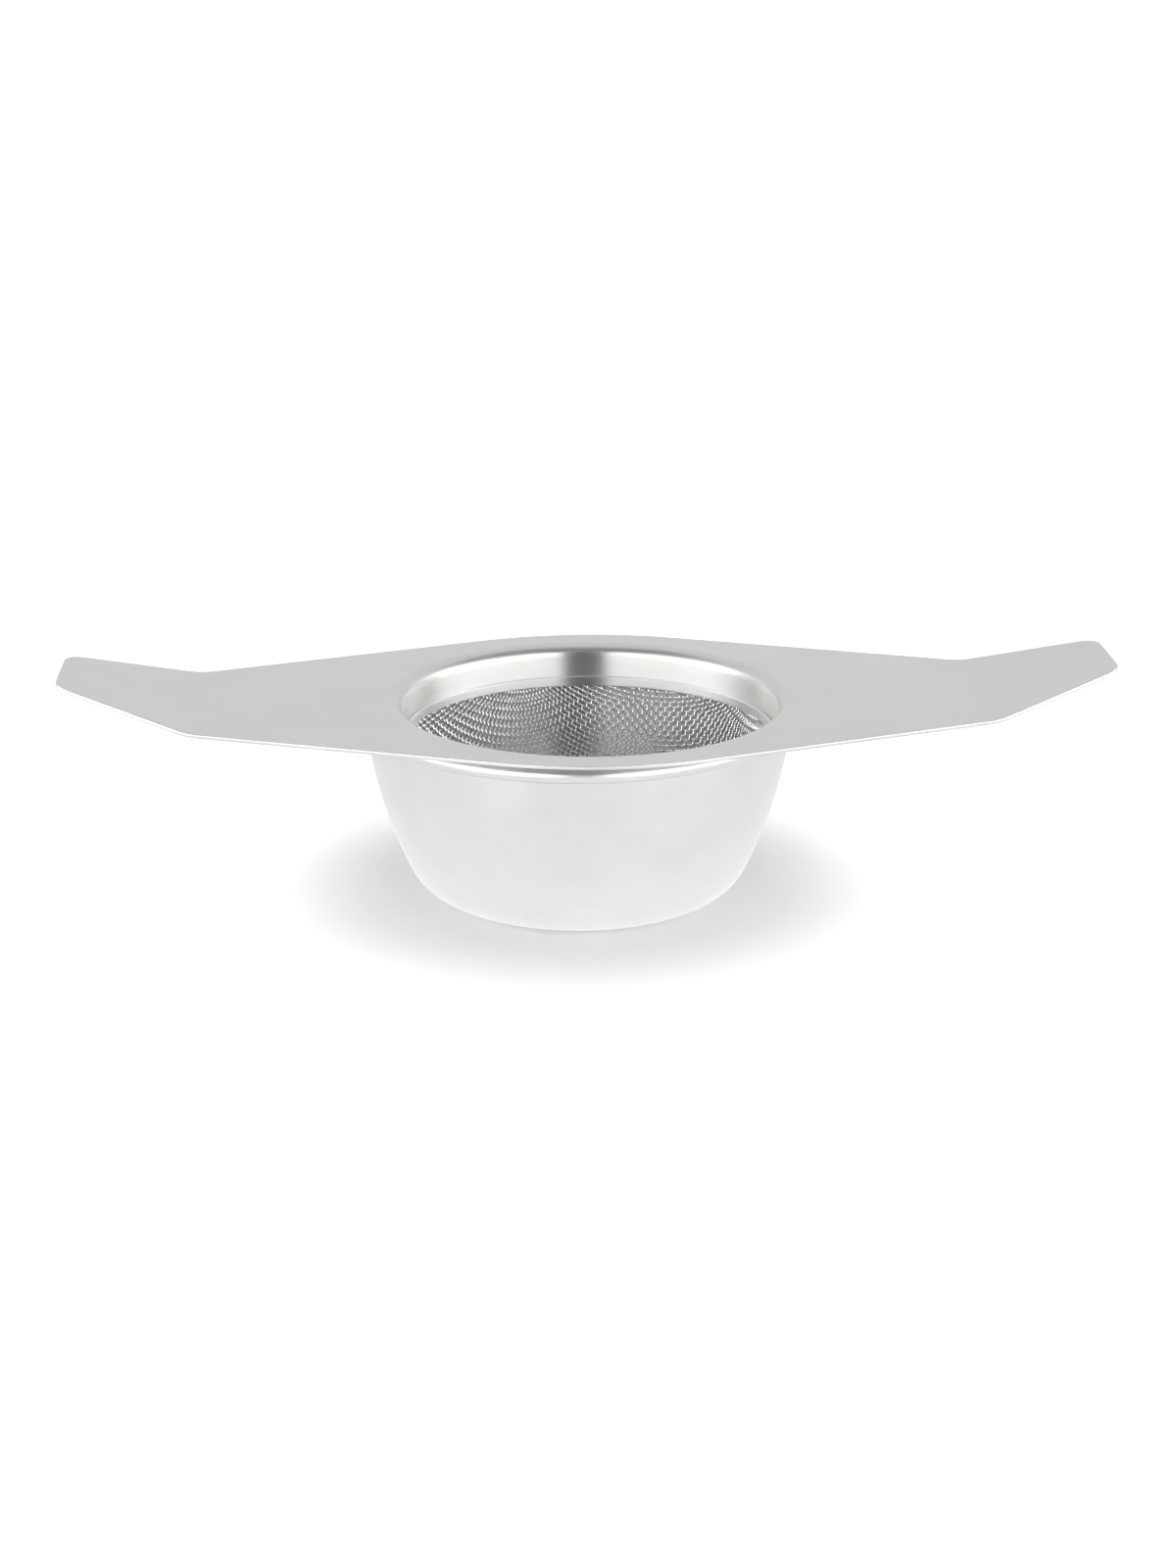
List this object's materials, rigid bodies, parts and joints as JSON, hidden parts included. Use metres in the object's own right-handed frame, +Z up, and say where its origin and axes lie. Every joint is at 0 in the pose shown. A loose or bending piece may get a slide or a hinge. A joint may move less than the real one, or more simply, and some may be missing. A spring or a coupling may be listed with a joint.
{
  "type": "tea strainer with drip bowl",
  "caption": "Two-winged steel tea strainer with a woven wire basket in a drawn collar, resting on the curled rim of a round drip bowl.",
  "frame": {"origin": "centre of the drip bowl's flat base, on the surface it stands on", "axes": "+Z up, +X along the wings, +Y across the plate, away from the side it is mostly seen from"},
  "size_m": [0.1614, 0.0704, 0.0362],
  "materials": {
    "satin_steel": "fine satin stainless steel",
    "steel_wire": "bright drawn stainless wire, plain weave",
    "polished_steel": "polished stainless steel"
  },
  "bodies": {
    "bowl": {"drip_bowl": "satin_steel"},
    "strainer": {"strainer_plate": "satin_steel", "mesh_basket": "steel_wire", "mesh_ring": "polished_steel"}
  },
  "joints": [
    {"name": "strainer_lift", "type": "slide", "parent": "bowl", "child": "strainer", "axis": [0, 0, 1], "range_m": [0, 0.06]}
  ]
}
